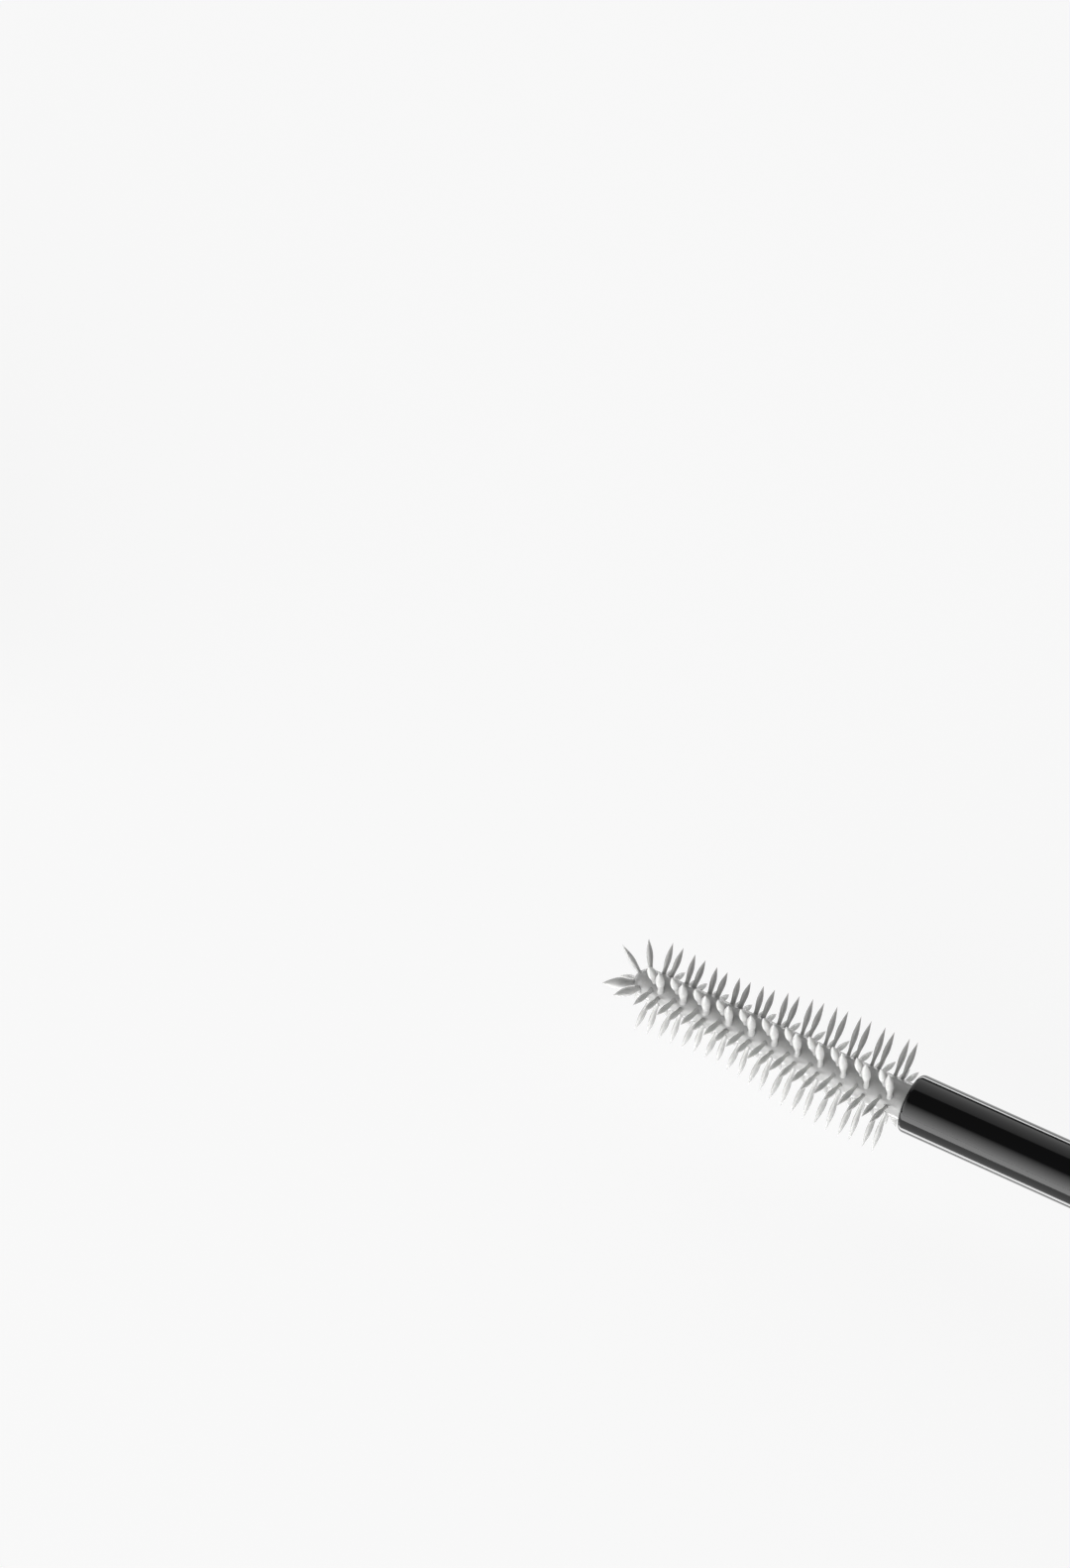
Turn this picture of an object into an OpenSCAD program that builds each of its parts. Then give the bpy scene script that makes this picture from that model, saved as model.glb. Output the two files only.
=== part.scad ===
// Screw-cap mascara tube lying on a table with its wand drawn out.
// Everything is turned about one axis, which runs along X at the tube's own radius above the table.
// Stations are distances in mm from the bottle's base towards the cap's top.

/* [Tube] */
// Outer diameter of the bottle and the cap
tube_d = 17.6; // [16.8:0.1:22]
// Length of the bottle from its base to its shoulder
body_len = 68; // [66:0.5:90]
// Length of the cap from its rim to its top
cap_len = 46; // [42:0.5:60]
// Wall of the outer sleeve and of the cap shell
shell_wall = 0.8; // [0.6:0.05:1]
// Radius of the rounded edges at the two ends
edge_round = 0.8; // [0.4:0.1:1.2]

/* [Bottle] */
// Wall of the inner vial
vial_wall = 1.3; // [1:0.1:1.6]
// Length of the neck above the shoulder
neck_len = 10.5; // [9.5:0.1:14]
// Bore through the neck
neck_bore = 9.6; // [9.5:0.1:10]
// Wall of the neck between its bore and its outside
neck_wall = 1.1; // [0.9:0.05:1.2]
// Thickness of the disc that closes the base
base_disc_t = 1.4; // [1.2:0.1:2]
// Length of the steel slug in the base
base_weight_len = 5.3; // [3:0.1:8]
// Diameter of the blank label on the base
label_d = 12; // [8:0.5:14]
// Thickness of the label
label_t = 0.12; // [0.08:0.01:0.2]
// Depth of mascara left in the vial
fill_len = 40; // [20:1:44]

/* [Thread] */
// Advance of the thread in one turn
thread_lead = 3.6; // [3.2:0.1:4.4]
// Height of each ridge
thread_h = 0.7; // [0.5:0.05:0.7]
// Width of a ridge at its root
ridge_w = 0.8; // [0.6:0.05:0.8]

/* [Stem] */
// Diameter of the stem
stem_d = 4.8; // [4:0.1:5.2]
// Length of the stem that stands out of the cap's rim
stem_out = 30; // [26:0.5:32]
// Depth of the stem's seat in the cap
stem_seat = 18; // [15:0.5:20]
// Gap between the drawn-out brush and the bottle's mouth
open_gap = 66.9; // [20:0.1:120]

/* [Brush] */
// Diameter of the brush core at the stem
core_d = 3.1; // [2.6:0.05:3.6]
// Diameter of the brush core near its tip
core_tip_d = 2.4; // [2.3:0.05:3.1]
// Length of the brush core
core_len = 24.3; // [24:0.1:25]
// Diameter of the hard pin inside the brush
pin_d = 1.8; // [1.4:0.1:1.9]
// Diameter across the bristle tips at the stem end
brush_d = 9.1; // [8:0.1:9.3]
// Diameter across the bristle tips at the waist
brush_waist_d = 6.8; // [6:0.1:8]
// Diameter across the bristle tips at the far end
brush_end_d = 7.4; // [6.5:0.1:8.5]
// Number of pairs of bristle rings
pair_count = 11; // [6:1:11]
// Distance from one pair of rings to the next
pair_pitch = 2.03; // [1.8:0.01:2.05]
// Distance between the two rings of a pair
pair_gap = 0.72; // [0.6:0.02:0.9]
// Turn of the whole brush round the stem's axis, in degrees
brush_turn = -32; // [-180:1:180]
// Diameter across the bristles that lean outwards on the domed end
crown_d = 6.5; // [5:0.1:7.4]
// Diameter across the bristles that point forward on the domed end
crown_point_d = 4.2; // [3:0.1:5]
// Width of a bristle at its widest
bristle_w = 0.5; // [0.4:0.02:0.6]

/* [Fits] */
// Radial clearance of a piece that turns on another
running = 0.05; // [0.03:0.01:0.1]
// Clearance of a fixed piece in its seat
seat = 0.05; // [0.02:0.01:0.1]
// Clearance between the cap and the bottle when closed
free = 0.25; // [0.2:0.05:0.3]

/* [Hidden] */

starts = 2;
ridge_gap = thread_lead / starts;
tube_r = tube_d / 2;
shell_r = tube_r - shell_wall;          // inside of the sleeve and the shell
vial_r = shell_r - seat;
well_r = vial_r - vial_wall;            // inside of the vial
bore_r = neck_bore / 2;
neck_r = bore_r + neck_wall;
crest_r = neck_r + thread_h;
foot_r = crest_r + running;             // plain foot of the neck, under the collar ring
foot_len = 1.8;
collar_t = 1.2;
collar_bore_r = foot_r + running;
thread_bore_r = crest_r + free;         // inside of the liner, outside the ridges
liner_r = thread_bore_r + 0.7;
stem_r = stem_d / 2;
floor_t = 1.2;                          // bottom of the vial
flange_t = 0.5;                         // wiper's flange on the neck's lip
wiper_wall = 0.5;
wiper_r = bore_r - seat;
wiper_gap = 0.1;                        // between the stem and the wiper's lip
ring_band = 2.4;                        // width of the trim ring on the cap's rim
spigot_len = 2.6;
liner_inset = 0.6;                      // liner's mouth behind the rim
socket_wall = 1.6;
roof_t = 1.4;
seal_t = 1;
top_disc_t = 1.4;
top_floor = 1.2;                        // shell's floor under the top disc
top_lip = 0.4;                          // shell's lip round it
weight_gap = 2.5;                       // between the stem's seat and the cap's slug
shoulder_t = 1.6;                       // top of the vial round its neck
wiper_tube = 6.5;                       // straight part of the wiper
wiper_cone = 5;                         // and its narrowing part
pin_seat = 8;                           // depth of the pin's seat in the stem
bevel = 0.2;                            // small bevels on turned edges
first_ring = 1.33;                      // from the stem's end to the first bristle ring
rings_end = first_ring + pair_gap + (pair_count - 1) * pair_pitch;
full_len = 6.5;                         // how far the brush keeps its full diameter
waist_at = 17;
pin_short = 2.4;                        // the pin ends this far before the core does
dome_len = 1.3;
brush_reach = core_len + 1.8;           // from the stem's end to the foremost bristle tip

// Root and tip of each bristle in a ring, in degrees round the core, for the ring of a pair
// that is nearer the stem and for the other one
near_bristles = [[-4, 16], [-40, -36], [-66, -97], [-140, -154], [126, 145], [85, 85]];
far_bristles = [[22, 18], [-19, -34], [-76, -92], [-146, -152], [150, 146], [102, 87]];
far_lean = 0.26;                        // the tips of the far rings lean this far forward
// Directions of the bristles on the domed end: a circle that leans out and one that points forward
crown_outer = [86, -38, 206];
crown_inner = [66, -44, 188];

// Stations along the bottle
vial_base = base_disc_t + base_weight_len + 2 * seat;
well_floor = vial_base + floor_t;
mouth = body_len + neck_len;
lip = mouth + flange_t;
closed_rim = body_len + collar_t + 2 * free - 0.1;

// Stations along the wand while it is drawn out
brush_tip = lip + open_gap;
stem_end = brush_tip + brush_reach;
rim = stem_end + stem_out;
cap_top = rim + cap_len;
seal_travel = thread_lead;
seal_closed = rim + (lip - closed_rim) + 0.1;
seal_open = seal_closed - seal_travel;
roof = seal_closed + seal_t + 0.1;
seat_end = rim + stem_seat;
// The neck's ridges stay half a ridge spacing ahead of the liner's at every turn
nut_start = rim + 1.6;
neck_thread = nut_start - rim + closed_rim + ridge_gap / 2;

// Carries a shape drawn about Z, with its stations along Z, onto the tube's axis
module on_axis() {
  translate([-cap_top / 2, 0, tube_r]) rotate([0, 90, 0]) children();
}

// Spins an outline of [station, radius] points about the tube's axis
module lathe(outline) {
  on_axis() rotate_extrude($fn = 96) polygon([for (p = outline) [p[1], p[0]]]);
}

// Quarter-round corner from one direction to another, as [station, radius] points
function corner(s, r, size, from, to, n = 5) =
  [for (i = [0:n]) let (a = from + (to - from) * i / n) [s + size * cos(a), r + size * sin(a)]];

// Point at an angle from straight up, turned about the axis
function around(angle, r, s) = [-r * cos(angle), r * sin(angle), s];

// Joins rings of equal point counts into one closed skin
module skin(rings) {
  n = len(rings[0]);
  last = len(rings) - 1;
  polyhedron(
    [for (ring = rings) for (p = ring) p],
    concat(
      [[for (i = [0:n - 1]) i]],
      [for (k = [0:last - 1]) for (i = [0:n - 1])
        let (a = k * n + i, b = k * n + (i + 1) % n) each [[a, b + n, b], [a, a + n, b + n]]],
      [[for (i = [0:n - 1]) (last + 1) * n - 1 - i]]
    )
  );
}

// One ridge of half a turn on the given wall: side is 1 outside a wall and -1 inside a bore
module ridge(start, wall_r, side, turn) {
  steps = 24;
  sink = 0.25;
  half = ridge_w / 2;
  top = 0.6 * half;
  skin([for (k = [0:steps])
    let (rise = min(1, k / 3, (steps - k) / 3),
         phi = turn + 180 * k / steps,
         s = start + ridge_gap * k / steps,
         root = wall_r - side * sink,
         crest = wall_r + side * (rise * (thread_h + 0.05) - 0.05),
         pts = [[root, -half - 0.1], [crest, -top], [crest, top], [root, half + 0.1]])
    [for (i = [0:3]) let (p = pts[side > 0 ? 3 - i : i]) [p[0] * cos(phi), p[0] * sin(phi), s + p[1]]]]);
}

// The two ridges of a double thread, which together go once round
module thread(start, wall_r, side) {
  for (k = [0:starts - 1]) ridge(start, wall_r, side, 180 * k);
}

// Moulded outer shell of the cap, with a recess for the top disc
module cap_shell() {
  s0 = rim + ring_band;
  recess = cap_top - top_disc_t;
  inner_end = recess - top_floor;
  color("#141416") lathe(concat(
    [[s0, shell_r], [s0, tube_r]],
    corner(cap_top - edge_round, tube_r - edge_round, edge_round, 90, 0),
    [[cap_top, shell_r - top_lip], [recess, shell_r - top_lip], [recess, 0], [inner_end, 0], [inner_end, shell_r]]));
}

// Polished disc let into the cap's top
module cap_top_disc() {
  s0 = cap_top - top_disc_t;
  r = shell_r - top_lip - seat;
  color("#c9c9cb") lathe([[s0, 0], [cap_top, 0], [cap_top, r - bevel], [cap_top - bevel, r], [s0, r]]);
}

// Steel slug that gives the cap its weight
module cap_weight() {
  s0 = seat_end + weight_gap;
  s1 = cap_top - top_disc_t - top_floor - seat;
  color("#8d8f92") lathe([[s0, 0], [s1, 0], [s1, shell_r - seat], [s0, shell_r - seat]]);
}

// Threaded inner cap with the stem's socket
module cap_liner() {
  s0 = rim + liner_inset;
  step = rim + ring_band + spigot_len + seat;
  blind = seat_end + seat;
  boss = stem_r + seat + socket_wall;
  color("#1b1b1d") union() {
    lathe([[s0, thread_bore_r], [s0, liner_r], [step, liner_r], [step, shell_r - seat],
      [roof + roof_t, shell_r - seat], [roof + roof_t, boss], [blind + socket_wall, boss],
      [blind + socket_wall, 0], [blind, 0], [blind, stem_r + seat], [roof, stem_r + seat],
      [roof, thread_bore_r]]);
    on_axis() thread(nut_start, thread_bore_r, -1);
  }
}

// Trim ring on the cap's rim, held by a spigot inside the shell
module cap_ring() {
  s1 = rim + ring_band;
  color("#c9c9cb") lathe([[rim, liner_r + seat], [rim, tube_r - bevel], [rim + bevel, tube_r],
    [s1, tube_r], [s1, shell_r - seat], [s1 + spigot_len, shell_r - seat],
    [s1 + spigot_len, liner_r + seat]]);
}

// Hollow-ended stem that carries the brush
module stem() {
  edge = 0.35;
  color("#0f0f11") lathe(concat(
    [[seat_end, 0], [seat_end, stem_r]],
    corner(stem_end + edge, stem_r - edge, edge, 90, 180),
    [[stem_end, pin_d / 2 + seat], [stem_end + pin_seat, pin_d / 2 + seat], [stem_end + pin_seat, 0]]));
}

// Distance from the stem's end towards the brush's tip, as a station
function out(d) = stem_end - d;

// Hard pin that stiffens the brush and is pressed into the stem
module brush_pin() {
  tip = out(core_len - pin_short);
  r = pin_d / 2;
  color("#b9b9b5") lathe(concat([[stem_end + pin_seat - seat, 0], [stem_end + pin_seat - seat, r]],
    corner(tip + r, 0, r, 90, 180)));
}

function eased(t) = (1 - cos(180 * min(1, max(0, t)))) / 2;

// Radius of the bristle tips at a distance from the stem's end
function envelope(d) = d < waist_at
  ? brush_d / 2 + (brush_waist_d - brush_d) / 2 * eased((d - full_len) / (waist_at - full_len))
  : brush_waist_d / 2 + (brush_end_d - brush_waist_d) / 2 * eased((d - waist_at) / (rings_end - waist_at));

// Radius of the core at a distance from the stem's end
function core_r(d) = (core_d + (core_tip_d - core_d) * d / core_len) / 2;

// Square bristle from a root point to its tip, widest a little under half-way
module bristle(root, tip) {
  v = tip - root;
  w = v / norm(v);
  side = cross(w, abs(w[2]) < 0.9 ? [0, 0, 1] : [1, 0, 0]);
  a = side / norm(side);
  b = cross(w, a);
  skin([for (step = [[0, 0.28], [0.45, 0.5], [0.85, 0.26], [1, 0.07]])
    let (c = root + v * step[0], h = bristle_w * step[1])
    [c + h * a, c + h * b, c - h * a, c - h * b]]);
}

// One ring of bristles at a distance from the stem's end
module bristle_ring(d, bristles, forward) {
  for (b = bristles)
    bristle(around(brush_turn + b[0], core_r(d) - 0.2, out(d)),
      around(brush_turn + b[1], envelope(d), out(d + forward)));
}

// One circle of bristles on the domed end, from a root radius and distance to a tip radius and distance
module crown(directions, root_r, root_d, tip_r, tip_d) {
  for (a = directions)
    bristle(around(brush_turn + a, root_r, out(root_d)), around(brush_turn + a, tip_r, out(tip_d)));
}

// Soft moulded brush: a domed core, pairs of bristle rings and a crown on its end
module brush_head() {
  bore = pin_d / 2 + 0.02;
  dome_at = core_len - dome_len;
  dome_r = core_r(dome_at);
  color("#c9c9c5") union() {
    on_axis() rotate_extrude($fn = 48) polygon(concat(
      [[bore, stem_end], [core_r(0), stem_end]],
      [for (i = [0:5]) let (a = 90 * i / 5) [dome_r * cos(a), out(dome_at + dome_len * sin(a))]],
      [[0, out(core_len - pin_short + 0.1)], [bore, out(core_len - pin_short + 0.1)]]));
    on_axis() for (k = [0:pair_count - 1]) {
      d = first_ring + k * pair_pitch;
      bristle_ring(d, near_bristles, 0);
      bristle_ring(d + pair_gap, far_bristles, far_lean * eased(d / 8));
    }
    on_axis() crown(crown_outer, dome_r * 0.7, core_len - 1, crown_d / 2, core_len + 0.25);
    on_axis() crown(crown_inner, dome_r * 0.3, core_len - 0.5, crown_point_d / 2, brush_reach);
  }
}

// Floating washer that the neck's lip lifts against the liner's roof
module seal_ring() {
  color("#d8d4c8") lathe([[seal_open, stem_r + free], [seal_open, thread_bore_r - free],
    [seal_open + seal_t, thread_bore_r - free], [seal_open + seal_t, stem_r + free]]);
}

// Loose trim ring that turns on the foot of the neck
module collar_ring() {
  s0 = body_len + 0.2;
  r = tube_r - 0.1;
  color("#c9c9cb") lathe([[s0, collar_bore_r], [s0, r - 0.15], [s0 + 0.15, r],
    [s0 + collar_t - 0.15, r], [s0 + collar_t, r - 0.15], [s0 + collar_t, collar_bore_r]]);
}

// Outer sleeve of the bottle
module bottle_sleeve() {
  color("#141416") lathe(concat(
    corner(edge_round, tube_r - edge_round, edge_round, 180, 90),
    [[body_len - bevel, tube_r], [body_len, tube_r - bevel], [body_len, shell_r], [0, shell_r]]));
}

// Moulded inner vial with its threaded neck
module bottle_vial() {
  shoulder_in = body_len - shoulder_t;
  color("#2a2a2c") union() {
    lathe([[vial_base, 0], [vial_base, vial_r], [body_len, vial_r], [body_len, foot_r],
      [body_len + foot_len, foot_r], [body_len + foot_len, neck_r], [mouth - 0.3, neck_r],
      [mouth, neck_r - 0.3], [mouth, bore_r], [shoulder_in, bore_r],
      [shoulder_in - (well_r - bore_r), well_r], [well_floor, well_r], [well_floor, 0]]);
    on_axis() thread(neck_thread, neck_r, 1);
  }
}

// Soft wiper in the neck, whose lip cleans the brush and the stem
module neck_wiper() {
  tube_end = mouth - wiper_tube;
  lip_end = tube_end - wiper_cone;
  r = stem_r + wiper_gap;
  color("#b4b4b0") lathe([[lip, wiper_r - wiper_wall], [lip, neck_r - 0.4], [mouth, neck_r - 0.4],
    [mouth, wiper_r], [tube_end, wiper_r], [lip_end, r + wiper_wall], [lip_end, r],
    [tube_end, wiper_r - wiper_wall]]);
}

// Mascara round the wall, with the hollow that the brush leaves
module mascara_fill() {
  r = well_r - seat;
  hollow = bore_r + 0.15;
  s0 = well_floor + seat;
  color("#0a0a0b") lathe([[s0, 0], [s0, r], [s0 + fill_len, r], [s0 + fill_len - 0.5, hollow],
    [s0 + 1, hollow], [s0 + 1, 0]]);
}

// Disc that closes the sleeve, with a recess for the label
module base_disc() {
  color("#141416") lathe([[label_t, 0], [label_t, label_d / 2], [0, label_d / 2],
    [0, shell_r - seat - bevel], [bevel, shell_r - seat], [base_disc_t, shell_r - seat], [base_disc_t, 0]]);
}

// Steel slug under the vial
module base_weight() {
  s0 = base_disc_t + seat;
  color("#8d8f92") lathe([[s0, 0], [s0, shell_r - seat], [s0 + base_weight_len, shell_r - seat],
    [s0 + base_weight_len, 0]]);
}

// Blank paper label in the base
module base_label() {
  color("#e4e4e0") lathe([[0, 0], [0, label_d / 2 - 0.1], [label_t, label_d / 2 - 0.1], [label_t, 0]]);
}

cap_shell();
cap_top_disc();
cap_weight();
cap_liner();
cap_ring();
stem();
brush_pin();
brush_head();
seal_ring();
collar_ring();
bottle_sleeve();
bottle_vial();
neck_wiper();
mascara_fill();
base_disc();
base_weight();
base_label();
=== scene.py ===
"""Finished pieces, materials, light and camera for a mascara tube that lies with its wand drawn out."""
import math

import bmesh
import bpy
import numpy as np
from mathutils import Matrix, Vector


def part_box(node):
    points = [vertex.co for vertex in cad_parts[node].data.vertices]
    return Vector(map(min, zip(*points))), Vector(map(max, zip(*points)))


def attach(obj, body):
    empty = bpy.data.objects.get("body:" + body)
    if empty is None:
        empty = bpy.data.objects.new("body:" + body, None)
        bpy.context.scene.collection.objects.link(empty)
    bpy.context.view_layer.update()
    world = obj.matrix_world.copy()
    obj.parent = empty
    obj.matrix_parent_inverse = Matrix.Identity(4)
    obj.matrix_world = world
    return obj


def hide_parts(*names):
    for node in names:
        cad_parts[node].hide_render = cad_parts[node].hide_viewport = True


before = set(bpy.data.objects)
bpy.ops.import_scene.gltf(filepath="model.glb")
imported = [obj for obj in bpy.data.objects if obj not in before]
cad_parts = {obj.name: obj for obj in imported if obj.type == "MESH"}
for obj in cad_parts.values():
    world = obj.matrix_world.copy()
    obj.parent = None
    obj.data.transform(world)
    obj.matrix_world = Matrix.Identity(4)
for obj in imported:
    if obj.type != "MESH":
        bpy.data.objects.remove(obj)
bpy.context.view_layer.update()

MM = 0.001
TURN = 2 * math.pi

# ---------------------------------------------------------------- places taken from the imported parts


def span(node):
    """Lowest and highest station of a node along the tube, in mm."""
    low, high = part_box(node)
    return low[0] / MM, high[0] / MM


def radius(node):
    """Outer radius of a turned node, in mm."""
    low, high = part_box(node)
    return (high[1] - low[1]) / 2 / MM


AXIS_HEIGHT = radius("bottle_sleeve")
STEM_END = span("stem")[0]
STEM_R = radius("stem")
TUBE_R = radius("cap_shell")
RIM = span("cap_ring")[0]
CAP_TOP = span("cap_shell")[1]
BASE, SHOULDER = span("bottle_sleeve")
LIP = span("neck_wiper")[1]
SHELL_R = TUBE_R - 0.8        # inside of the sleeve and of the cap's shell
FIT_R = SHELL_R - 0.05        # what is pressed into them
LINER_R = 7.55                # mouth of the inner cap
NUT_BORE_R = 6.85             # its bore, outside its thread
BOSS_R = STEM_R + 1.65        # round the stem's socket
ROOF = RIM + 10.6             # inner cap's roof, which the seal rests against
DISC_R = radius("cap_top_disc")
DISC_T = 1.4
RING_BAND = 2.4               # width of the ring on the cap's rim
SPIGOT = 2.6
EDGE = 0.95                   # rounding of the two ends
FOOT_R = 6.65                 # plain foot of the neck
NECK_R = 5.9
BORE_R = 4.8
WELL_R = 6.65
WIPER_R = 4.75
PIN_R = radius("brush_pin")
SOCKET_R = 1.6                # mouth of the brush's seat in the stem

# ---------------------------------------------------------------- meshes


def add_mesh(name, verts, faces, material, body, slot, *replaced, flat=False):
    """A piece from points in mm and faces of point numbers, riding on a body and standing for CAD nodes."""
    mesh = bpy.data.meshes.new(name)
    mesh.from_pydata((np.asarray(verts) * MM).tolist(), [], faces)
    mesh.update()
    piece = bpy.data.objects.new(name, mesh)
    bpy.context.collection.objects.link(piece)
    mesh.materials.append(material)
    mesh.polygons.foreach_set("use_smooth", np.full(len(mesh.polygons), not flat))
    if body:
        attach(piece, body)
    if replaced:
        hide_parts(*replaced)
    return piece


def grid_faces(rows, columns, wrap_rows=False, start=0):
    """Quads of a grid of points whose columns close on themselves, and whose rows do too if wrap_rows."""
    last = rows if wrap_rows else rows - 1
    i, j = np.meshgrid(np.arange(last), np.arange(columns), indexing="ij")
    below, right = (i + 1) % rows, (j + 1) % columns
    quads = np.stack([i * columns + j, i * columns + right, below * columns + right, below * columns + j], -1)
    return (quads.reshape(-1, 4) + start).tolist()


def rounded(corners, steps=6):
    """Outline with each corner (station, radius, rounding) cut back along its two sides by the rounding and joined
    by a curve: (1-t)^2 of the first cut, 2t(1-t) of the corner and t^2 of the second."""
    points = np.array([c[:2] for c in corners], float)
    cut = np.array([c[2] if len(c) > 2 else 0.0 for c in corners])
    out = []
    for k, point in enumerate(points):
        if cut[k] == 0:
            out.append(point[None])
            continue
        before, after = points[k - 1] - point, points[(k + 1) % len(points)] - point
        first = point + before / np.linalg.norm(before) * cut[k]
        second = point + after / np.linalg.norm(after) * cut[k]
        t = np.linspace(0, 1, steps + 1)[:, None]
        out.append((1 - t) ** 2 * first + 2 * t * (1 - t) * point + t**2 * second)
    return np.concatenate(out)


def spun(outline, sides=160):
    """Points of an outline of (station, radius) carried round the tube's axis: y is r sin(angle) and
    z is r cos(angle) above the axis, for equal steps of angle."""
    angle = np.arange(sides) / sides * TURN
    station, r = outline[:, 0][:, None], outline[:, 1][:, None]
    verts = np.stack([station + 0 * angle, r * np.sin(angle), AXIS_HEIGHT + r * np.cos(angle)], -1)
    return verts.reshape(-1, 3)


def lathe(name, corners, material, body, slot, *replaced, extra=(), sides=160):
    """A turned piece from its outline's corners, with any extra (points, faces) in the same mesh. A corner on the
    axis is a pole: its points are merged into one."""
    outline = rounded(corners)
    verts = spun(outline, sides)
    faces = grid_faces(len(outline), sides, wrap_rows=True)
    for more, more_faces in extra:
        faces += [[v + len(verts) for v in face] for face in more_faces]
        verts = np.concatenate([verts, more])
    piece = add_mesh(name, verts, faces, material, body, slot, *replaced)
    clean(piece)
    sharp_edges(piece)
    return piece


def clean(piece):
    """Merges points that coincide, drops faces left without area and turns every face outwards."""
    bm = bmesh.new()
    bm.from_mesh(piece.data)
    bmesh.ops.remove_doubles(bm, verts=bm.verts, dist=1e-7)
    bmesh.ops.dissolve_degenerate(bm, edges=bm.edges, dist=1e-8)
    bmesh.ops.recalc_face_normals(bm, faces=bm.faces)
    bm.to_mesh(piece.data)
    bm.free()


def sharp_edges(piece, degrees=38):
    """Marks the edges between faces that meet at more than this angle, so that smooth shading stops there."""
    piece.data.set_sharp_from_angle(angle=math.radians(degrees))


# ---------------------------------------------------------------- materials


def linear(code):
    """sRGB hex colour to linear: c/12.92 below 0.04045, else ((c + 0.055)/1.055) to the power 2.4."""
    c = np.array([int(code[k:k + 2], 16) for k in (1, 3, 5)]) / 255
    return (*np.where(c <= 0.04045, c / 12.92, ((c + 0.055) / 1.055) ** 2.4), 1.0)


def add_node(tree, kind, settings=None, **links):
    """Adds a node, sets its properties and socket values, and links sockets given as (node, output)."""
    node = tree.nodes.new(kind)
    for key, value in (settings or {}).items():
        if key in node.inputs:
            node.inputs[key].default_value = value
        else:
            setattr(node, key, value)
    for key, (source, output) in links.items():
        tree.links.new(source.outputs[output], node.inputs[key.replace("_", " ")])
    return node


def new_material(name, **values):
    """An empty material whose shader has the given constant values."""
    material = bpy.data.materials.new(name)
    material.use_nodes = True
    tree = material.node_tree
    shader = tree.nodes["Principled BSDF"]
    for key, value in values.items():
        shader.inputs[key.replace("_", " ")].default_value = value
    return material, tree, shader


def object_place(tree, scale=(1.0, 1.0, 1.0)):
    """Object coordinates, stretched by a scale."""
    place = add_node(tree, "ShaderNodeTexCoord")
    return add_node(tree, "ShaderNodeMapping", {"Scale": scale}, Vector=(place, "Object"))


def per_mm(size):
    """Texture scale at which a noise feature measures this many mm."""
    return 1 / (size * MM)


def vary_roughness(tree, shader, source, low, high):
    """Roughness that follows a 0-to-1 pattern between two values."""
    spread = add_node(tree, "ShaderNodeMapRange", {"To Min": low, "To Max": high}, Value=source)
    tree.links.new(spread.outputs["Result"], shader.inputs["Roughness"])


def add_bump(tree, shader, source, depth):
    """Bump from a 0-to-1 pattern whose full height is depth mm."""
    bump = add_node(tree, "ShaderNodeBump", {"Strength": 1.0, "Distance": depth * MM}, Height=source)
    tree.links.new(bump.outputs["Normal"], shader.inputs["Normal"])


def mix_colours(tree, shader, source, first, second):
    """Base colour that follows a 0-to-1 pattern between two hex colours."""
    ramp = add_node(tree, "ShaderNodeMix", {"data_type": "RGBA"})
    ramp.inputs[6].default_value = linear(first)
    ramp.inputs[7].default_value = linear(second)
    tree.links.new(source[0].outputs[source[1]], ramp.inputs[0])
    tree.links.new(ramp.outputs[2], shader.inputs["Base Color"])


def black_gloss(name, hex_low, hex_high, ior, coat):
    """ABS moulded in a polished tool: a deep even black under a clear lacquer. The lacquer has a long faint ripple
    of 6 mm, too shallow to see except in the edge of a reflection, and rubbed patches of 9 mm."""
    material, tree, shader = new_material(name, IOR=ior, Coat_Weight=coat, Coat_Roughness=0.03, Coat_IOR=1.5)
    place = object_place(tree)
    rubbed = add_node(tree, "ShaderNodeTexNoise", {"Scale": per_mm(9), "Detail": 3.0}, Vector=(place, "Vector"))
    ripple = add_node(tree, "ShaderNodeTexNoise", {"Scale": per_mm(6), "Detail": 1.0}, Vector=(place, "Vector"))
    mix_colours(tree, shader, (rubbed, "Fac"), hex_low, hex_high)
    vary_roughness(tree, shader, (rubbed, "Fac"), 0.05, 0.11)
    add_bump(tree, shader, (ripple, "Fac"), 0.004)
    return material


def brush_elastomer():
    """Styrenic elastomer, injection moulded in its natural milky colour: light soaks in a millimetre or so and the
    slender bristles look paler than the core; that paleness is painted into their base colour as a painted glow, on
    top of the subsurface light. The tool's spark-eroded skin gives a satin grain, drawn at 0.25 mm to show."""
    material, tree, shader = new_material(
        "moulded_elastomer", IOR=1.5, Subsurface_Weight=0.6, Subsurface_Scale=0.5 * MM,
        Subsurface_Radius=(1.0, 1.0, 0.97), Subsurface_Anisotropy=0.6, Coat_Weight=0.35, Coat_Roughness=0.16)
    place = object_place(tree)
    grain = add_node(tree, "ShaderNodeTexNoise", {"Scale": per_mm(0.25), "Detail": 3.0}, Vector=(place, "Vector"))
    cloud = add_node(tree, "ShaderNodeTexNoise", {"Scale": per_mm(3.0), "Detail": 2.0}, Vector=(place, "Vector"))
    # Painted glow: the bristle points get the paler colour, which stands in for light soaking through them; the cloud
    # adds a little random tone.
    painted_glow_mask = add_node(tree, "ShaderNodeAttribute", {"attribute_name": "bristle"})
    glow_and_tone_mix = add_node(tree, "ShaderNodeMix", {"data_type": "FLOAT"})
    glow_and_tone_mix.inputs[0].default_value = 0.25
    tree.links.new(painted_glow_mask.outputs["Fac"], glow_and_tone_mix.inputs[2])
    tree.links.new(cloud.outputs["Fac"], glow_and_tone_mix.inputs[3])
    mix_colours(tree, shader, (glow_and_tone_mix, 0), "#a4a4a3", "#c6c6c5")
    vary_roughness(tree, shader, (grain, "Fac"), 0.2, 0.32)
    add_bump(tree, shader, (grain, "Fac"), 0.006)
    return material


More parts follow.
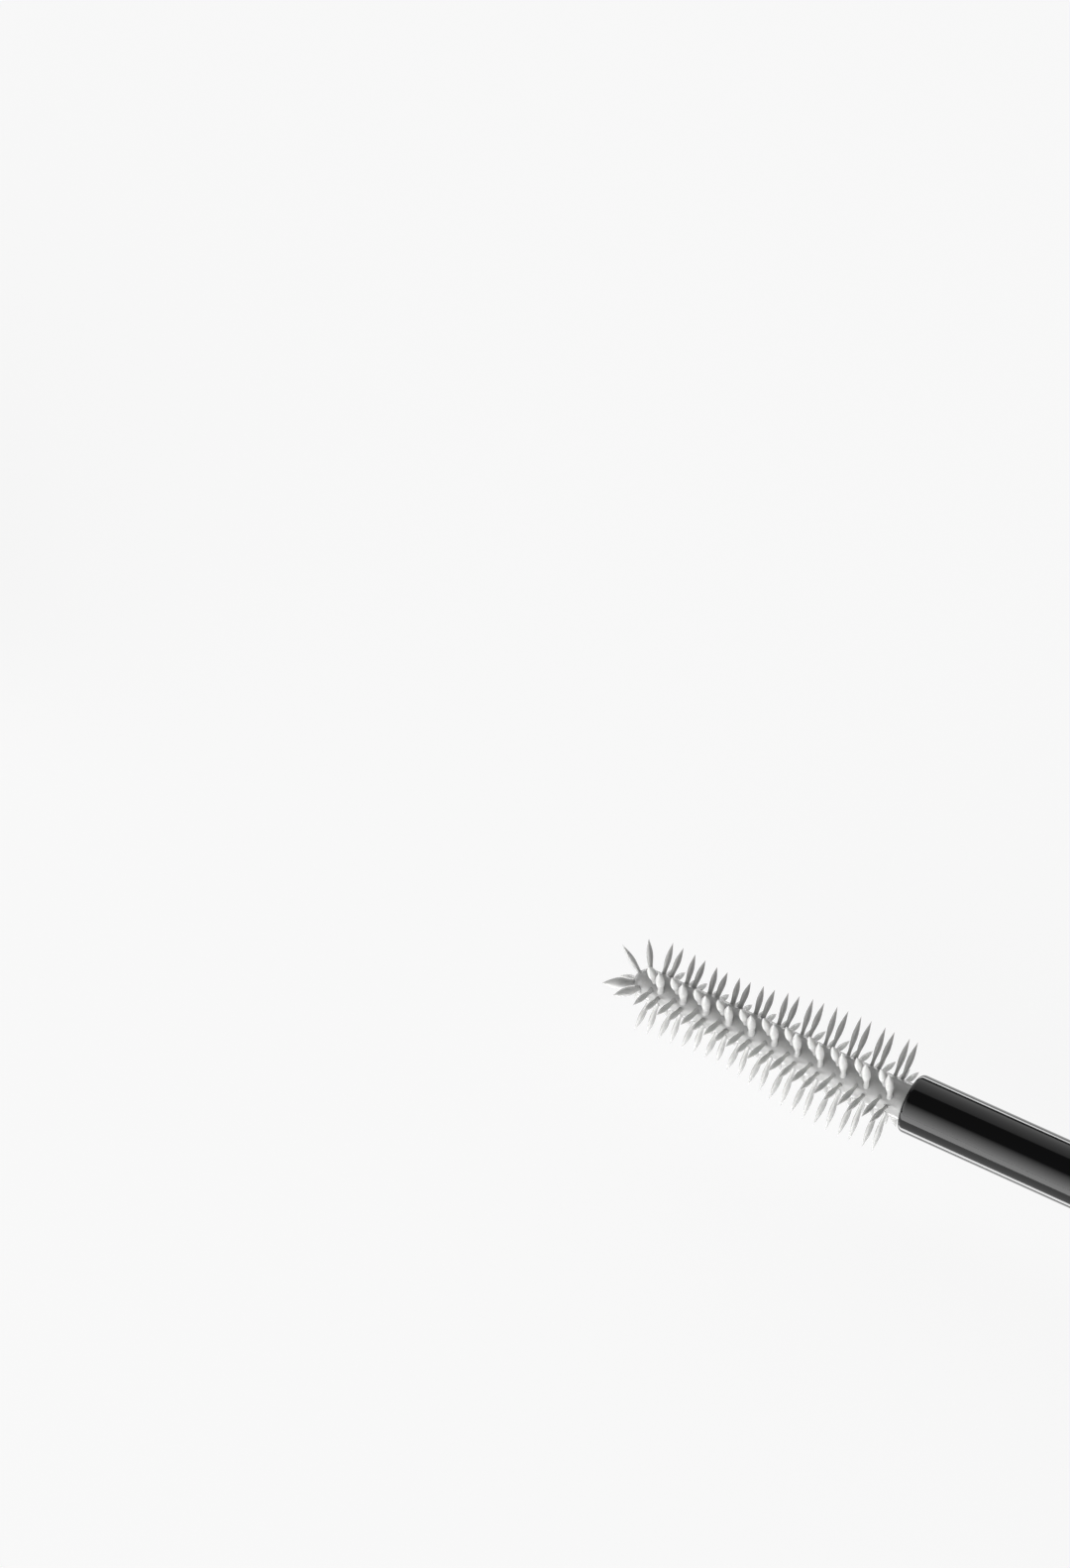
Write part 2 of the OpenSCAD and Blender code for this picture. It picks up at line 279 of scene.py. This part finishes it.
def polished_metal(name, hex_low, hex_high, rough_low, rough_high):
    """Anodised aluminium turned on a lathe: fine tool rings 0.15 mm apart run round the axis."""
    material, tree, shader = new_material(name, Metallic=1.0)
    place = object_place(tree, scale=(1.0, 0.02, 0.02))
    rings = add_node(tree, "ShaderNodeTexNoise", {"Scale": per_mm(0.15), "Detail": 2.0}, Vector=(place, "Vector"))
    mix_colours(tree, shader, (rings, "Fac"), hex_low, hex_high)
    vary_roughness(tree, shader, (rings, "Fac"), rough_low, rough_high)
    add_bump(tree, shader, (rings, "Fac"), 0.003)
    return material


def soft_plastic(name, hex_low, hex_high, grain_size, depth, rough, milky=0.0):
    """Moulded polyolefin with the tool's fine grain, and some light in its body if it is milky."""
    material, tree, shader = new_material(
        name, IOR=1.5, Subsurface_Weight=milky, Subsurface_Scale=0.5 * MM, Subsurface_Radius=(1.0, 1.0, 0.95))
    place = object_place(tree)
    grain = add_node(tree, "ShaderNodeTexNoise", {"Scale": per_mm(grain_size), "Detail": 4.0},
                     Vector=(place, "Vector"))
    mix_colours(tree, shader, (grain, "Fac"), hex_low, hex_high)
    vary_roughness(tree, shader, (grain, "Fac"), rough, rough + 0.15)
    add_bump(tree, shader, (grain, "Fac"), depth)
    return material


def wet_paste():
    """Mascara: carbon-black wax paste, wet, in ridges about a millimetre wide where it was wiped."""
    material, tree, shader = new_material("mascara_paste", IOR=1.46, Coat_Weight=0.6, Coat_Roughness=0.08)
    place = object_place(tree)
    lumps = add_node(tree, "ShaderNodeTexNoise", {"Scale": per_mm(1.1), "Detail": 5.0}, Vector=(place, "Vector"))
    mix_colours(tree, shader, (lumps, "Fac"), "#050506", "#131315")
    vary_roughness(tree, shader, (lumps, "Fac"), 0.2, 0.5)
    add_bump(tree, shader, (lumps, "Fac"), 0.25)
    return material


FINISH = {
    "stem": black_gloss("polished_lacquer_stem", "#020202", "#040405", 1.5, 0.0),
    "shell": black_gloss("polished_lacquer_shell", "#08080a", "#0d0d0f", 1.5, 0.6),
    "brush": brush_elastomer(),
    "trim": polished_metal("turned_aluminium", "#c4c4c8", "#dcdcdf", 0.1, 0.18),
    "slug": polished_metal("turned_steel", "#8a8b8e", "#a6a7a9", 0.25, 0.4),
    "inner": soft_plastic("moulded_black_polypropylene", "#161618", "#222225", 0.4, 0.008, 0.28),
    "wiper": soft_plastic("moulded_polyethylene", "#c3c3bd", "#d6d6d0", 0.5, 0.01, 0.35, milky=0.4),
    "pin": soft_plastic("moulded_polypropylene", "#b9b9b3", "#cbcbc6", 0.5, 0.008, 0.35, milky=0.3),
    "seal": soft_plastic("foamed_polyethylene", "#d2cec2", "#e4e0d6", 0.12, 0.03, 0.7),
    "paper": soft_plastic("uncoated_paper", "#d9d8d2", "#e9e8e3", 0.2, 0.006, 0.75),
    "paste": wet_paste(),
}

# ---------------------------------------------------------------- brush

PAIRS = 11                    # the rings stand in pairs along the core
PAIR_PITCH = 2.03
NEAR_RING = 1.33              # from the stem's end to the first ring of the first pair
FAR_RING = 2.05               # and to its second ring
CORE_R = (1.56, 1.2)          # core radius at the stem and at its tip
CORE_LEN = 24.3
DOME_LEN = 1.3
TIP_R = (4.6, 3.4, 3.72)      # radius across the tips at the stem, at the waist and at the last ring
FULL_LEN = 6.5
WAIST_AT = 17.0
PIN_END = CORE_LEN - 2.0      # how deep the pin reaches into the brush
LAST_RING = FAR_RING + (PAIRS - 1) * PAIR_PITCH
FRONT = -32.0                 # where the angles below are counted from, in degrees from straight up towards +Y
# Root and tip of each bristle round the core, in degrees, and its relative width, for the two kinds of ring
FAR_BRISTLES = ((22, 18, 1.6), (-19, -34, 1), (-76, -92, 1), (-146, -152, 1), (150, 146, 1), (102, 87, 1))
NEAR_BRISTLES = ((-4, 16, 1.6), (-40, -36, 1), (-66, -97, 1), (-140, -154, 1), (126, 145, 1), (85, 85, 1))
FAR_LEAN = 0.26               # how far the tips of the far rings lean towards the brush's end
# Angle round the core, root radius and distance, tip radius and distance of the bristles on the domed end
CROWN = ((86, 0.9, 23.3, 3.25, 24.55), (-38, 0.9, 23.3, 3.25, 24.55), (206, 0.9, 23.3, 3.25, 24.55),
         (66, 0.4, 23.8, 2.1, 26.1), (-44, 0.4, 23.8, 2.1, 26.1), (188, 0.4, 23.8, 2.1, 26.1))
BRISTLE_HALF = 0.25           # half of a bristle's widest
BRUSH_SHIFT = 0.15            # how far the brush sits to one side of the stem's axis where it enters the stem


def eased(t):
    """0 to 1 along half a cosine wave."""
    return (1 - np.cos(np.pi * np.clip(t, 0, 1))) / 2


def tip_radius(d):
    """Radius of the bristle tips at a distance from the stem: full, down to the waist, and up again."""
    first, waist, last = TIP_R
    narrowing = first + (waist - first) * eased((d - FULL_LEN) / (WAIST_AT - FULL_LEN))
    widening = waist + (last - waist) * eased((d - WAIST_AT) / (LAST_RING - WAIST_AT))
    return np.where(d < WAIST_AT, narrowing, widening)


def core_radius(d):
    """Radius of the tapered core at a distance from the stem."""
    return CORE_R[0] + (CORE_R[1] - CORE_R[0]) * d / CORE_LEN


def around(angle, r, d):
    """Points at an angle from straight up, a radius from the axis and a distance from the stem's end."""
    return np.stack([STEM_END - d + 0 * r, r * np.sin(angle), AXIS_HEIGHT + r * np.cos(angle)], -1)


def ring_bristles():
    """Roots, tips and relative widths of the bristles in the rings. Each ring has six, whose roots and tips stand
    at the angles of its kind, and the tips of the far ring of each pair lean forward."""
    pair = np.arange(PAIRS)[:, None]
    roots, tips, broad = [], [], []
    for first, bristles, lean in ((NEAR_RING, NEAR_BRISTLES, 0.0), (FAR_RING, FAR_BRISTLES, FAR_LEAN)):
        broad.append(np.tile([width for *_, width in bristles], PAIRS))
        angles = np.radians(FRONT + np.array(bristles, float))[None]
        d = first + pair * PAIR_PITCH + 0 * angles[..., 0]
        roots.append(around(angles[..., 0] + 0 * d, core_radius(d) - 0.12, d))
        tips.append(around(angles[..., 1] + 0 * d, tip_radius(d), d + lean * eased(d / 8)))
    return np.concatenate(roots).reshape(-1, 3), np.concatenate(tips).reshape(-1, 3), np.concatenate(broad)


def crown_bristles():
    """Roots, tips and relative widths of the bristles on the domed end."""
    angle, root_r, root_d, tip_r, tip_d = np.array(CROWN).T
    angle = np.radians(FRONT + angle)
    return around(angle, root_r, root_d), around(angle, tip_r, tip_d), np.array([1.1, 1.6, 1.1, 1.1, 2.0, 1.3])


LEAF_T = np.array([0.0, 0.05, 0.12, 0.22, 0.34, 0.46, 0.58, 0.7, 0.81, 0.9, 0.96, 1.0])


def leaf_width(t, neck):
    """Half-width of a bristle along its length, as a share of its widest: a flared foot that dies away, then a neck
    that swells as half a cosine to the widest a little past the middle and closes as a quarter wave to a point."""
    foot = 0.4 * np.exp(-t / 0.05)
    swell = neck + (1 - neck) * eased((t - 0.1) / 0.42)
    point = np.cos(np.pi / 2 * np.clip((t - 0.5) / 0.5, 0, 1)) ** 1.1
    return foot + swell * point + 0.03


def bristle_skins(roots, tips, broad, sides=12):
    """Leaf-shaped skins from roots to tips: four-cornered rings of points, |cos| and |sin| to the power 1.3, whose
    size follows leaf_width. Longer bristles have slimmer necks, and broad scales each one's width."""
    length = np.linalg.norm(tips - roots, axis=1, keepdims=True)
    along = (tips - roots) / length
    wide = np.array([1.0, 0, 0]) - along * along[:, :1]
    wide /= np.linalg.norm(wide, axis=1, keepdims=True)
    deep = np.cross(along, wide)
    neck = np.interp(length, (2.2, 3.1), (0.8, 0.5))
    angle = np.arange(sides) / sides * TURN
    across = np.sign(np.cos(angle)) * np.abs(np.cos(angle)) ** 1.3
    through = np.sign(np.sin(angle)) * np.abs(np.sin(angle)) ** 1.3
    t = LEAF_T[None]
    half = (BRISTLE_HALF * broad[:, None] * leaf_width(t, neck))[..., None, None]
    ring = (across[None, None, :, None] * wide[:, None, None]
            + through[None, None, :, None] * deep[:, None, None])
    verts = roots[:, None, None] + t[..., None, None] * (tips - roots)[:, None, None] + half * ring
    rows = len(LEAF_T)
    faces = []
    for start in range(0, len(roots) * rows * sides, rows * sides):
        faces += grid_faces(rows, sides, start=start)
        faces.append(list(range(start, start + sides))[::-1])
        faces.append(list(range(start + (rows - 1) * sides, start + rows * sides)))
    return verts.reshape(-1, 3), faces


def build_brush():
    """The moulded brush: a tapered core with a domed end, rings of bristles and a crown."""
    dome_at = CORE_LEN - DOME_LEN
    quarter = np.linspace(0, np.pi / 2, 10)
    dome = np.stack([dome_at + DOME_LEN * np.sin(quarter), core_radius(dome_at) * np.cos(quarter)], -1)
    socket = [[0.0, PIN_R + 0.05], [0.0, core_radius(0.0)]]
    side = [[d, core_radius(d)] for d in np.linspace(1, dome_at - 1, 8)]
    bore = [[PIN_END, 0.0], [PIN_END, PIN_R + 0.05]]
    outline = np.concatenate([socket, side, dome, bore])
    outline[:, 0] = STEM_END - outline[:, 0]
    verts = spun(outline, 64)
    core_points = len(verts)
    faces = grid_faces(len(outline), 64, wrap_rows=True)
    for bristles in (ring_bristles(), crown_bristles()):
        more, more_faces = bristle_skins(*bristles)
        faces += [[v + len(verts) for v in face] for face in more_faces]
        verts = np.concatenate([verts, more])
    aside = BRUSH_SHIFT * (verts[:, :1] - (STEM_END - CORE_LEN)) / CORE_LEN
    side_angle = math.radians(FRONT - 90)
    verts = verts + aside * np.array([0, math.sin(side_angle), math.cos(side_angle)])
    brush = add_mesh("brush", verts, faces, FINISH["brush"], "wand", "brush_elastomer", "brush_head")
    # Marks the bristle points, which the material paints paler as a painted glow of light through them.
    painted_glow_mask = brush.data.attributes.new("bristle", "FLOAT", "POINT")
    painted_glow_mask.data.foreach_set("value", (np.arange(len(verts)) >= core_points).astype(np.float32))
    clean(brush)
    sharp_edges(brush, 60)
    return brush


# ---------------------------------------------------------------- thread

STARTS = 2
THREAD_LEAD = 3.6
THREAD_H = 0.7
RIDGE_HALF = 0.4
NUT_START = RIM + 1.6
NECK_START = SHOULDER + 4.1


def ridge(start, wall_r, side, turn):
    """One thread ridge of half a turn: a rounded bank whose height rises over the first eighth and falls over the
    last, carried along a helix. Angle runs from down (-Z) towards +Y, and the station rises with it."""
    steps, across = 72, 9
    k = np.linspace(0, 1, steps)[:, None]
    w = np.linspace(-1, 1, across)[None]
    rise = eased(np.minimum(k, 1 - k) * 8)
    bank = np.clip(1.35 * (1 - np.abs(w) ** 3), 0, 1)
    height = rise * bank * THREAD_H
    r = wall_r + side * np.where(np.abs(w) == 1, -0.2, height - 0.02)
    angle = turn + k * TURN / 2
    station = start + THREAD_LEAD / STARTS * k + w * RIDGE_HALF * 0.98
    back = np.full((steps, 1), wall_r - side * 0.2)
    r = np.concatenate([r, back], 1)
    station = np.concatenate([station, start + THREAD_LEAD / STARTS * k], 1)
    verts = np.stack([station, r * np.sin(angle), AXIS_HEIGHT - r * np.cos(angle)], -1).reshape(-1, 3)
    faces = grid_faces(steps, across + 1)
    faces.append(list(range(across + 1)))
    faces.append(list(range((steps - 1) * (across + 1), steps * (across + 1)))[::-1])
    return verts, faces


def thread(start, wall_r, side):
    """The two ridges of the double thread, half a turn apart."""
    return [ridge(start, wall_r, side, 0.0), ridge(start, wall_r, side, TURN / 2)]


# ---------------------------------------------------------------- build


def build_stem():
    """The polished stem, with a small rounded edge round its end and the brush's seat in it."""
    end = span("stem")[1]
    seat = STEM_END + 8
    return lathe("stem_rod", [(end, 0), (end, STEM_R, 0.2), (STEM_END, STEM_R, 0.42), (STEM_END, SOCKET_R, 0.1),
                              (seat, PIN_R + 0.05), (seat, 0)],
                 FINISH["stem"], "wand", "stem_gloss", "stem", sides=192)


def build_pin():
    """The hard pin in the brush, with a round tip and a chamfered tail."""
    tip, tail = span("brush_pin")
    return lathe("pin_core", [(tip, 0), (tip, PIN_R, 0.7), (tail, PIN_R, 0.2), (tail, 0)],
                 FINISH["pin"], "wand", "brush_pin_plastic", "brush_pin", sides=64)


def build_cap():
    """The cap: a lacquered shell with a turned ring on its rim, a disc in its top, a steel slug, and the threaded
    inner cap that holds the stem."""
    ring_end = RIM + RING_BAND
    floor = CAP_TOP - DISC_T
    lathe("cap_outer", [(ring_end, SHELL_R), (ring_end, TUBE_R, 0.1), (CAP_TOP, TUBE_R, EDGE),
                        (CAP_TOP, DISC_R + 0.05, 0.1), (floor, DISC_R + 0.05), (floor, 0), (floor - 1.2, 0),
                        (floor - 1.2, SHELL_R, 0.3)],
          FINISH["shell"], "wand", "black_gloss", "cap_shell", sides=256)
    lathe("cap_trim", [(RIM, LINER_R + 0.05, 0.1), (RIM, TUBE_R, 0.25), (RIM + 1.0, TUBE_R, 0.05),
                       (RIM + 1.08, TUBE_R - 0.08), (RIM + 1.22, TUBE_R - 0.08), (RIM + 1.3, TUBE_R, 0.05),
                       (ring_end, TUBE_R, 0.1), (ring_end, FIT_R), (ring_end + SPIGOT, FIT_R, 0.1),
                       (ring_end + SPIGOT, LINER_R + 0.05)],
          FINISH["trim"], "wand", "silver_trim", "cap_ring", sides=256)
    lathe("cap_badge", [(floor, 0), (CAP_TOP, 0), (CAP_TOP, DISC_R, 0.2), (floor, DISC_R)],
          FINISH["trim"], "wand", "silver_trim", "cap_top_disc", sides=192)
    low, high = span("cap_weight")
    lathe("cap_slug", [(low, 0), (low, FIT_R, 0.4), (high, FIT_R, 0.4), (high, 0)],
          FINISH["slug"], "wand", "steel_slug", "cap_weight")
    mouth, end = span("cap_liner")
    lathe("cap_inner", [(mouth, NUT_BORE_R, 0.15), (mouth, LINER_R, 0.12), (ring_end + SPIGOT + 0.05, LINER_R),
                        (ring_end + SPIGOT + 0.05, FIT_R, 0.06), (ROOF + 1.4, FIT_R, 0.15),
                        (ROOF + 1.4, BOSS_R, 0.4), (end, BOSS_R, 0.3), (end, 0), (end - 1.6, 0),
                        (end - 1.6, STEM_R + 0.05), (ROOF, STEM_R + 0.05, 0.1), (ROOF, NUT_BORE_R, 0.2)],
          FINISH["inner"], "wand", "inner_plastic", "cap_liner", extra=thread(NUT_START, NUT_BORE_R, -1))


def build_seal():
    """The floating washer."""
    low, high = span("seal_ring")
    inner, outer = STEM_R + 0.25, radius("seal_ring")
    lathe("seal_washer", [(low, inner, 0.15), (low, outer, 0.15), (high, outer, 0.15), (high, inner, 0.15)],
          FINISH["seal"], "seal", "seal_foam", "seal_ring")


def build_collar():
    """The loose turned ring on the neck's foot."""
    low, high = span("collar_ring")
    outer = radius("collar_ring")
    lathe("collar_trim", [(low, FOOT_R + 0.05, 0.1), (low, outer, 0.22), (high, outer, 0.22),
                          (high, FOOT_R + 0.05, 0.1)],
          FINISH["trim"], "collar", "silver_trim", "collar_ring", sides=256)


def build_bottle():
    """The bottle: a lacquered sleeve with a rounded base, the threaded vial with its wiper, what is left of the
    mascara, and the base with its disc, slug and blank label."""
    lathe("bottle_outer", [(BASE, SHELL_R), (BASE, TUBE_R, EDGE), (SHOULDER, TUBE_R, 0.25), (SHOULDER, SHELL_R, 0.05)],
          FINISH["shell"], "bottle", "black_gloss", "bottle_sleeve", sides=256)
    low, mouth = span("bottle_vial")
    floor = low + 1.2
    inside = SHOULDER - 1.6
    lathe("bottle_inner", [(low, 0), (low, FIT_R, 0.3), (SHOULDER, FIT_R, 0.1), (SHOULDER, FOOT_R, 0.15),
                           (SHOULDER + 1.8, FOOT_R, 0.15), (SHOULDER + 1.8, NECK_R, 0.1), (mouth, NECK_R, 0.35),
                           (mouth, BORE_R, 0.12), (inside, BORE_R, 0.3), (inside - WELL_R + BORE_R, WELL_R, 0.5),
                           (floor, WELL_R, 0.8), (floor, 0)],
          FINISH["inner"], "bottle", "inner_plastic", "bottle_vial", extra=thread(NECK_START, NECK_R, 1))
    throat, tip = LIP - 7.0, LIP - 12.0
    lathe("wiper_insert", [(LIP, WIPER_R - 0.5, 0.15), (LIP, NECK_R - 0.4, 0.15), (mouth, NECK_R - 0.4, 0.05),
                           (mouth, WIPER_R), (throat, WIPER_R, 0.6), (tip, STEM_R + 0.6, 0.1),
                           (tip, STEM_R + 0.1, 0.1), (throat, WIPER_R - 0.5, 0.6)],
          FINISH["wiper"], "bottle", "wiper_rubber", "neck_wiper")
    low, high = span("mascara_fill")
    lathe("mascara", [(low, 0), (low, WELL_R - 0.05, 0.8), (high, WELL_R - 0.05, 0.15),
                      (high - 0.5, BORE_R + 0.15, 0.3), (low + 1, BORE_R + 0.15, 0.9), (low + 1, 0)],
          FINISH["paste"], "bottle", "mascara_paste", "mascara_fill")
    low, high = span("base_weight")
    lathe("base_slug", [(low, 0), (low, FIT_R, 0.4), (high, FIT_R, 0.4), (high, 0)],
          FINISH["slug"], "bottle", "steel_slug", "base_weight")
    label_r = radius("base_label")
    under = span("base_label")[1]
    lathe("base_plate", [(under, 0), (under, label_r + 0.1), (BASE, label_r + 0.1, 0.06), (BASE, FIT_R, 0.2),
                         (BASE + DISC_T, FIT_R, 0.1), (BASE + DISC_T, 0)],
          FINISH["shell"], "bottle", "black_gloss", "base_disc", sides=192)
    lathe("base_sticker", [(BASE, 0), (BASE, label_r, 0.04), (under, label_r), (under, 0)],
          FINISH["paper"], "bottle", "label_paper", "base_label", sides=192)


build_brush()
build_stem()
build_pin()
build_cap()
build_seal()
build_collar()
build_bottle()

# ---------------------------------------------------------------- floor, light and camera


def build_floor():
    """A white sweep that glows a little, as a lit table does, so that shadows on it stay faint."""
    material, tree, shader = new_material("white_table", Roughness=0.9, Emission_Strength=0.857)
    shader.inputs["Base Color"].default_value = linear("#707070")
    shader.inputs["Emission Color"].default_value = (1, 1, 1, 1)
    shader.inputs["Specular IOR Level"].default_value = 0.0
    size = 3000.0
    verts = [(-size, -size, -0.02), (size, -size, -0.02), (size, size, -0.02), (-size, size, -0.02)]
    floor = add_mesh("floor", verts, [(0, 1, 2, 3)], material, None, None, flat=True)


def softbox(name, centre, size, energy, low, high):
    """An area light facing the stem's end. Its strength goes evenly with height, from low at the table or at its
    lower edge to high at its upper edge."""
    data = bpy.data.lights.new(name, "AREA")
    data.shape = "RECTANGLE"
    data.size, data.size_y = size
    data.energy = energy
    light = bpy.data.objects.new(name, data)
    bpy.context.collection.objects.link(light)
    target = Vector((STEM_END, 0, AXIS_HEIGHT)) * MM
    light.location = Vector(centre)
    light.rotation_euler = (target - light.location).to_track_quat("-Z", "Y").to_euler()
    light.visible_camera = False
    tilt = (light.location - target).normalized()
    rise = size[1] / 2 * math.hypot(tilt.x, tilt.y)
    data.use_nodes = True
    tree = data.node_tree
    place = add_node(tree, "ShaderNodeNewGeometry")
    split = add_node(tree, "ShaderNodeSeparateXYZ", Vector=(place, "Position"))
    ramp = add_node(tree, "ShaderNodeMapRange", {
        "From Min": light.location.z - rise, "From Max": light.location.z + rise,
        "To Min": low, "To Max": high}, Value=(split, "Z"))
    tree.links.new(ramp.outputs["Result"], tree.nodes["Emission"].inputs["Strength"])


def polar(angle, distance, shift):
    """A place at an angle from straight up towards +Y, a distance in metres from the stem's end."""
    a = math.radians(angle)
    return (STEM_END * MM + shift, distance * math.sin(a), AXIS_HEIGHT * MM + distance * math.cos(a))


def low_card(name, near, far, height, strength, seen_by_matt):
    """A glowing card that lies on the table along the whole tube and faces up, between two distances from the axis
    in mm. It shows as a streak in what is polished, and lights what is matt only if asked to."""
    data = bpy.data.lights.new(name, "AREA")
    data.shape = "RECTANGLE"
    data.size, data.size_y = (CAP_TOP - BASE) * MM, abs(far - near) * MM
    data.energy = strength * math.pi * data.size * data.size_y
    light = bpy.data.objects.new(name, data)
    bpy.context.collection.objects.link(light)
    light.location = Vector(((CAP_TOP + BASE) / 2, (near + far) / 2, height)) * MM
    light.rotation_euler = (math.pi, 0, 0)
    light.visible_camera = False
    light.visible_diffuse = seen_by_matt


def build_light():
    """Two long softboxes beside the table, dark overhead between them, cards that glow on the table, and a dim even
    surround."""
    softbox("front_box", polar(-65, 0.7, -0.2), (1.8, 0.68), 15.5, 1.0, 0.02)
    softbox("back_box", polar(49, 0.9, -0.25), (1.8, 1.0), 7.0, 1.0, 0.33)
    low_card("front_card", -22, -330, 1, 3.4, True)
    low_card("back_card", 55, 260, 1, 4.5, False)
    low_card("under_card", -5.9, -3.4, 0.3, 4.8, False)
    world = bpy.data.worlds.new("dim_room")
    bpy.context.scene.world = world
    world.use_nodes = True
    world.node_tree.nodes["Background"].inputs["Color"].default_value = (1, 1, 1, 1)
    world.node_tree.nodes["Background"].inputs["Strength"].default_value = 0.1


VIEW_AZIMUTH = 29.5       # from -Y towards +X
VIEW_ELEVATION = 51.8
VIEW_DISTANCE = 611.0     # to the stem's end, in mm
LENS = 182.0
STEM_END_OFFSET = (28.95, -24.52)   # where the stem's end lies from the middle of the view, in mm right and up


def build_camera():
    """A long lens above the table, aimed so that the stem's end lies right of and below the middle."""
    azimuth, elevation = math.radians(VIEW_AZIMUTH), math.radians(VIEW_ELEVATION)
    back = Vector((math.cos(elevation) * math.sin(azimuth), -math.cos(elevation) * math.cos(azimuth),
                   math.sin(elevation)))
    right = Vector((0, 0, 1)).cross(back).normalized()
    up = back.cross(right)
    target = Vector((STEM_END, 0, AXIS_HEIGHT)) - right * STEM_END_OFFSET[0] - up * STEM_END_OFFSET[1]
    data = bpy.data.cameras.new("view")
    data.lens = LENS
    data.clip_start, data.clip_end = 0.01, 20
    camera = bpy.data.objects.new("view", data)
    bpy.context.collection.objects.link(camera)
    camera.matrix_world = Matrix.Translation((target + back * VIEW_DISTANCE) * MM) @ Matrix(
        (right, up, back)).transposed().to_4x4()
    bpy.context.scene.camera = camera


build_floor()
build_light()
build_camera()
bpy.context.scene.view_settings.view_transform = "Standard"
